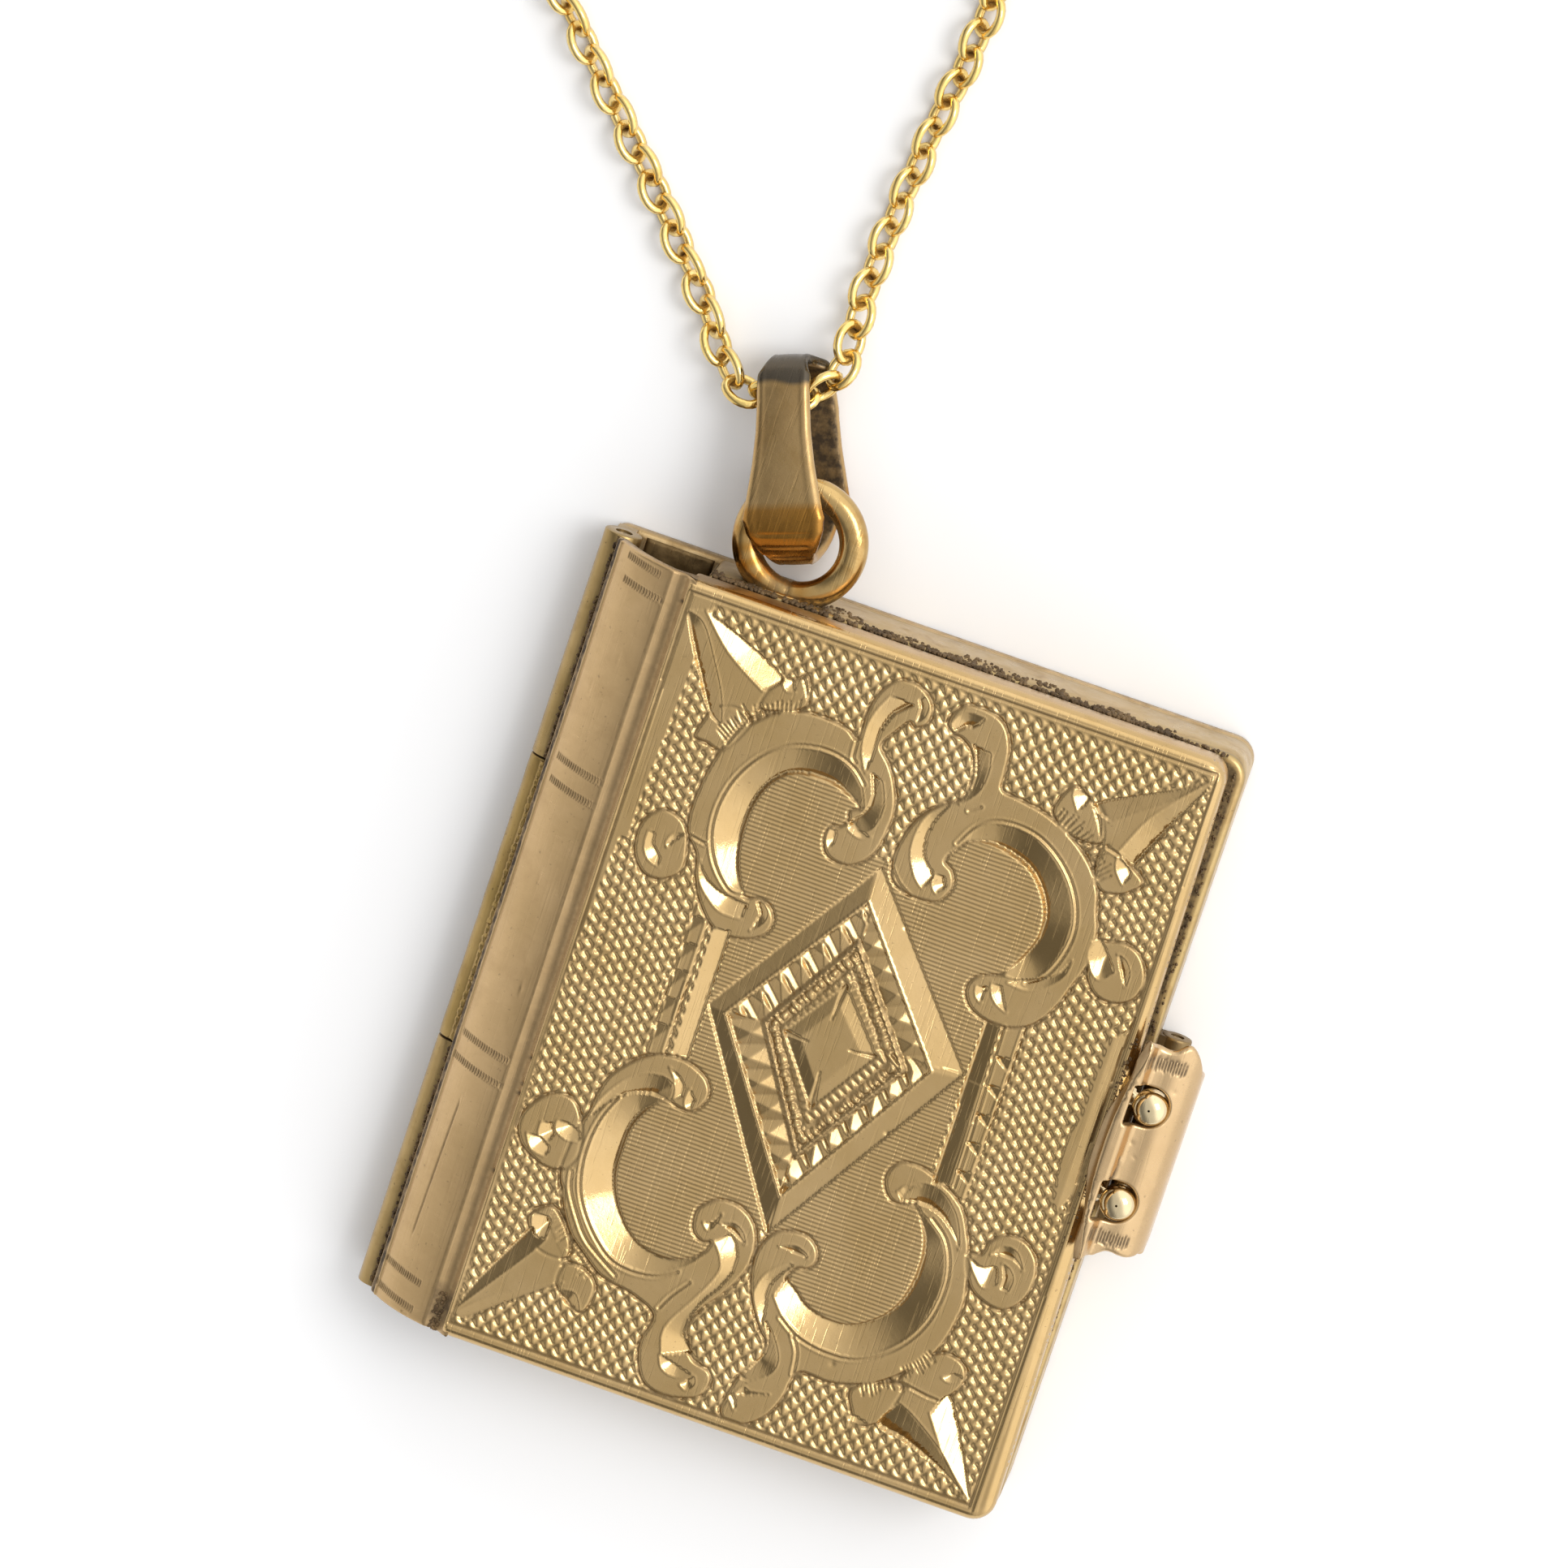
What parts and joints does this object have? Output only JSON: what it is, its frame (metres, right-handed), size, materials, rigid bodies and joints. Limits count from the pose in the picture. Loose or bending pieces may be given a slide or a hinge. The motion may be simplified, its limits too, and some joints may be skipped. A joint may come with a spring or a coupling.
{
  "type": "book locket on a chain",
  "caption": "Book shaped locket that opens at its spine, with a side hasp, a strap bail and a fine cable chain.",
  "frame": {"origin": "middle of the back board's underside, on the surface that the locket lies on", "axes": "+X towards the fore-edge and the hasp, +Y towards the head and the jump ring, +Z out of the front cover"},
  "size_m": [0.1159, 0.2081, 0.0058],
  "materials": {
    "case_gold": "worn rolled gold, dark dirt in the gaps",
    "cover_gold": "worn rolled gold, engraved and bright cut",
    "hasp_gold": "worn rose gold, satin",
    "stud_gold": "polished rolled gold",
    "bail_gold": "gold with amber and grey tarnish",
    "pin_gold": "dull brass",
    "chain_gold": "bright yellow gold, polished"
  },
  "bodies": {
    "case": {"back_case": "case_gold", "hinge_pin": "pin_gold", "hasp_pin": "pin_gold", "bail": "bail_gold", "chain": "chain_gold", "chain_clasp": "chain_gold"},
    "cover": {"front_cover": "cover_gold", "stud_upper": "stud_gold", "stud_lower": "stud_gold"},
    "hasp": {"hasp": "hasp_gold"}
  },
  "joints": [
    {"name": "cover_hinge", "type": "hinge", "parent": "case", "child": "cover", "pos_m": [-0.01183, 0, 0.0017], "axis": [0, -1, 0], "range_deg": [0, 150]},
    {"name": "hasp_hinge", "type": "hinge", "parent": "case", "child": "hasp", "pos_m": [0.0099, 0, 0.00075], "axis": [0, 1, 0], "range_deg": [0, 60]}
  ]
}
